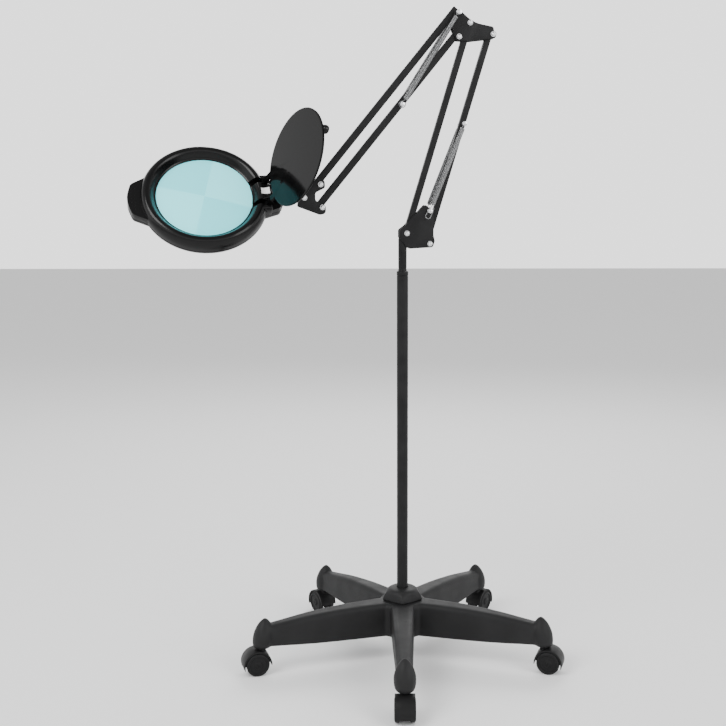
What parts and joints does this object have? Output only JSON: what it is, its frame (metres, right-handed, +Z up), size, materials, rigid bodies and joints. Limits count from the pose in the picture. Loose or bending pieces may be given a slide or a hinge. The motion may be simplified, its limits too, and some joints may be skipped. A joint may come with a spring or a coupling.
{
  "type": "magnifying lamp",
  "caption": "Floor-standing magnifying lamp on a rolling star base, with a post, spring-balanced parallelogram arms, a tilting round lens head and an open hinged cover.",
  "frame": {"origin": "centre of the lamp's footprint box, on the floor", "axes": "+Z up, the arm reaches towards -X and slightly -Y, -Y is the front leg of the base"},
  "size_m": [0.8246, 0.605, 1.2766],
  "materials": {
    "base_plastic": "satin",
    "grey_paint": "satin",
    "dark_plastic": "satin",
    "wheel_nylon": "matte",
    "gloss_black": "glossy",
    "zinc_plate": "polished",
    "spring_steel": "satin",
    "lens_glass": "glossy",
    "white_plastic": "satin"
  },
  "bodies": {
    "base": {"star_base": "base_plastic", "hub_cover": "base_plastic", "post_tube": "grey_paint", "post_bush": "dark_plastic"},
    "caster_1": {"caster_1_hood": "dark_plastic"},
    "wheel_1_left": {"caster_1_wheel_left": "wheel_nylon"},
    "wheel_1_right": {"caster_1_wheel_right": "wheel_nylon"},
    "caster_2": {"caster_2_hood": "dark_plastic"},
    "wheel_2_left": {"caster_2_wheel_left": "wheel_nylon"},
    "wheel_2_right": {"caster_2_wheel_right": "wheel_nylon"},
    "caster_3": {"caster_3_hood": "dark_plastic"},
    "wheel_3_left": {"caster_3_wheel_left": "wheel_nylon"},
    "wheel_3_right": {"caster_3_wheel_right": "wheel_nylon"},
    "caster_4": {"caster_4_hood": "dark_plastic"},
    "wheel_4_left": {"caster_4_wheel_left": "wheel_nylon"},
    "wheel_4_right": {"caster_4_wheel_right": "wheel_nylon"},
    "caster_5": {"caster_5_hood": "dark_plastic"},
    "wheel_5_left": {"caster_5_wheel_left": "wheel_nylon"},
    "wheel_5_right": {"caster_5_wheel_right": "wheel_nylon"},
    "arm_bracket": {"swivel_spigot": "grey_paint", "bracket_plate_near": "grey_paint", "bracket_plate_far": "grey_paint", "bracket_bolt_front": "zinc_plate", "bracket_bolt_rear": "zinc_plate", "lower_spring_post_near": "zinc_plate", "lower_spring_post_far": "zinc_plate"},
    "lower_front": {"lower_front_bar": "grey_paint"},
    "lower_rear": {"lower_rear_bar": "grey_paint", "lower_spring_pin": "zinc_plate"},
    "lower_springs": {"lower_spring_near": "spring_steel", "lower_spring_far": "spring_steel"},
    "elbow": {"elbow_plate_near": "grey_paint", "elbow_plate_far": "grey_paint", "elbow_bolt_a": "zinc_plate", "elbow_bolt_b": "zinc_plate", "elbow_bolt_c": "zinc_plate", "elbow_bolt_d": "zinc_plate"},
    "upper_lower": {"upper_lower_bar": "grey_paint", "upper_spring_pin": "zinc_plate"},
    "upper_top": {"upper_top_bar": "grey_paint"},
    "upper_springs": {"upper_spring_near": "spring_steel", "upper_spring_far": "spring_steel"},
    "upper_hooks": {"upper_spring_hook_near": "spring_steel", "upper_spring_hook_far": "spring_steel"},
    "head_bracket": {"head_plate_near": "grey_paint", "head_plate_far": "grey_paint", "head_bolt_upper": "zinc_plate", "head_bolt_lower": "zinc_plate", "head_bolt_tilt": "zinc_plate"},
    "tilt": {"tilt_block": "dark_plastic", "roll_stem": "spring_steel"},
    "head": {"head_upper_shell": "gloss_black", "head_lower_shell": "gloss_black", "lens": "lens_glass", "led_board": "white_plastic", "diffuser": "white_plastic", "cover_hinge_pin": "zinc_plate"},
    "cover": {"lens_cover": "gloss_black"},
    "knob": {"roll_knob": "dark_plastic"},
    "switch": {"rocker_switch": "white_plastic"}
  },
  "joints": [
    {"name": "caster_1_swivel", "type": "hinge", "parent": "base", "child": "caster_1", "pos_m": [0.0937, -0.2655, 0.07], "axis": [0, 0, 1], "continuous": true},
    {"name": "wheel_1_left_spin", "type": "hinge", "parent": "caster_1", "child": "wheel_1_left", "pos_m": [0.0937, -0.275, 0.0225], "axis": [1, 0, 0], "continuous": true},
    {"name": "wheel_1_right_spin", "type": "hinge", "parent": "caster_1", "child": "wheel_1_right", "pos_m": [0.0937, -0.275, 0.0225], "axis": [1, 0, 0], "continuous": true},
    {"name": "caster_2_swivel", "type": "hinge", "parent": "base", "child": "caster_2", "pos_m": [0.37093, -0.06408, 0.07], "axis": [0, 0, 1], "continuous": true},
    {"name": "wheel_2_left_spin", "type": "hinge", "parent": "caster_2", "child": "wheel_2_left", "pos_m": [0.37997, -0.06701, 0.0225], "axis": [0.309, 0.9511, 0], "continuous": true},
    {"name": "wheel_2_right_spin", "type": "hinge", "parent": "caster_2", "child": "wheel_2_right", "pos_m": [0.37997, -0.06701, 0.0225], "axis": [0.309, 0.9511, 0], "continuous": true},
    {"name": "caster_3_swivel", "type": "hinge", "parent": "base", "child": "caster_3", "pos_m": [0.26504, 0.26183, 0.07], "axis": [0, 0, 1], "continuous": true},
    {"name": "wheel_3_left_spin", "type": "hinge", "parent": "caster_3", "child": "wheel_3_left", "pos_m": [0.27062, 0.26951, 0.0225], "axis": [-0.809, 0.5878, 0], "continuous": true},
    {"name": "wheel_3_right_spin", "type": "hinge", "parent": "caster_3", "child": "wheel_3_right", "pos_m": [0.27062, 0.26951, 0.0225], "axis": [-0.809, 0.5878, 0], "continuous": true},
    {"name": "caster_4_swivel", "type": "hinge", "parent": "base", "child": "caster_4", "pos_m": [-0.07764, 0.26183, 0.07], "axis": [0, 0, 1], "continuous": true},
    {"name": "wheel_4_left_spin", "type": "hinge", "parent": "caster_4", "child": "wheel_4_left", "pos_m": [-0.08322, 0.26951, 0.0225], "axis": [-0.809, -0.5878, 0], "continuous": true},
    {"name": "wheel_4_right_spin", "type": "hinge", "parent": "caster_4", "child": "wheel_4_right", "pos_m": [-0.08322, 0.26951, 0.0225], "axis": [-0.809, -0.5878, 0], "continuous": true},
    {"name": "caster_5_swivel", "type": "hinge", "parent": "base", "child": "caster_5", "pos_m": [-0.18353, -0.06408, 0.07], "axis": [0, 0, 1], "continuous": true},
    {"name": "wheel_5_left_spin", "type": "hinge", "parent": "caster_5", "child": "wheel_5_left", "pos_m": [-0.19257, -0.06701, 0.0225], "axis": [0.309, -0.9511, 0], "continuous": true},
    {"name": "wheel_5_right_spin", "type": "hinge", "parent": "caster_5", "child": "wheel_5_right", "pos_m": [-0.19257, -0.06701, 0.0225], "axis": [0.309, -0.9511, 0], "continuous": true},
    {"name": "arm_swivel", "type": "hinge", "parent": "base", "child": "arm_bracket", "pos_m": [0.0937, 0.026, 0.78], "axis": [0, 0, 1], "continuous": true},
    {"name": "lower_arm", "type": "hinge", "parent": "arm_bracket", "child": "lower_front", "pos_m": [0.10091, 0.02714, 0.852], "axis": [-0.1564, 0.9877, 0], "range_deg": [-50, 0]},
    {"name": "lower_rear_link", "type": "hinge", "parent": "arm_bracket", "child": "lower_rear", "pos_m": [0.14536, 0.03418, 0.832], "axis": [-0.1564, 0.9877, 0], "range_deg": [-50, 0]},
    {"name": "elbow_level", "type": "hinge", "parent": "lower_front", "child": "elbow", "pos_m": [0.22017, 0.04603, 1.24695], "axis": [-0.1564, 0.9877, 0], "range_deg": [0, 50]},
    {"name": "lower_spring_turn", "type": "hinge", "parent": "lower_rear", "child": "lower_springs", "pos_m": [0.20878, 0.04423, 1.05915], "axis": [-0.1564, 0.9877, 0], "range_deg": [-18, 0]},
    {"name": "upper_arm", "type": "hinge", "parent": "elbow", "child": "upper_lower", "pos_m": [0.19943, 0.04275, 1.22095], "axis": [-0.1564, 0.9877, 0], "range_deg": [-10, 50]},
    {"name": "upper_top_link", "type": "hinge", "parent": "elbow", "child": "upper_top", "pos_m": [0.19647, 0.04228, 1.26395], "axis": [-0.1564, 0.9877, 0], "range_deg": [-10, 50]},
    {"name": "upper_spring_turn", "type": "hinge", "parent": "elbow", "child": "upper_springs", "pos_m": [0.19647, 0.04228, 1.26395], "axis": [-0.1564, 0.9877, 0], "range_deg": [-12, 44]},
    {"name": "upper_hook_slide", "type": "slide", "parent": "upper_springs", "child": "upper_hooks", "axis": [-0.529, -0.0838, -0.8445], "range_m": [-0.03, 0.008]},
    {"name": "head_level", "type": "hinge", "parent": "upper_lower", "child": "head_bracket", "pos_m": [-0.05949, 0.00174, 0.90182], "axis": [-0.1564, 0.9877, 0], "range_deg": [-50, 10]},
    {"name": "head_tilt", "type": "hinge", "parent": "head_bracket", "child": "tilt", "pos_m": [-0.09307, -0.00358, 0.91982], "axis": [0.1564, -0.9877, 0], "range_deg": [-40, 60]},
    {"name": "head_roll", "type": "hinge", "parent": "tilt", "child": "head", "pos_m": [-0.27416, -0.04772, 0.91949], "axis": [0.971, 0.2367, 0.0339], "range_deg": [-51, 38]},
    {"name": "cover_hinge", "type": "hinge", "parent": "head", "child": "cover", "pos_m": [-0.16382, -0.02717, 0.92823], "axis": [-0.1737, 0.6006, 0.7804], "range_deg": [-115.7, 10]},
    {"name": "knob_turn", "type": "hinge", "parent": "head", "child": "knob", "pos_m": [-0.14668, -0.018, 0.925], "axis": [0.1644, -0.7637, 0.6243], "continuous": true},
    {"name": "switch_rock", "type": "hinge", "parent": "head", "child": "switch", "pos_m": [-0.16274, -0.03124, 0.93161], "axis": [-0.1737, 0.6006, 0.7804], "range_deg": [0, 10]}
  ],
  "couplings": [
    {"joint": "lower_rear_link", "follows": "lower_arm", "ratio": 1},
    {"joint": "elbow_level", "follows": "lower_arm", "ratio": -1},
    {"joint": "lower_spring_turn", "follows": "lower_arm", "ratio": 0.335},
    {"joint": "upper_top_link", "follows": "upper_arm", "ratio": 1},
    {"joint": "upper_spring_turn", "follows": "upper_arm", "ratio": 0.865},
    {"joint": "upper_hook_slide", "follows": "upper_arm", "m_per_rad": -0.034},
    {"joint": "head_level", "follows": "upper_arm", "ratio": -1}
  ]
}
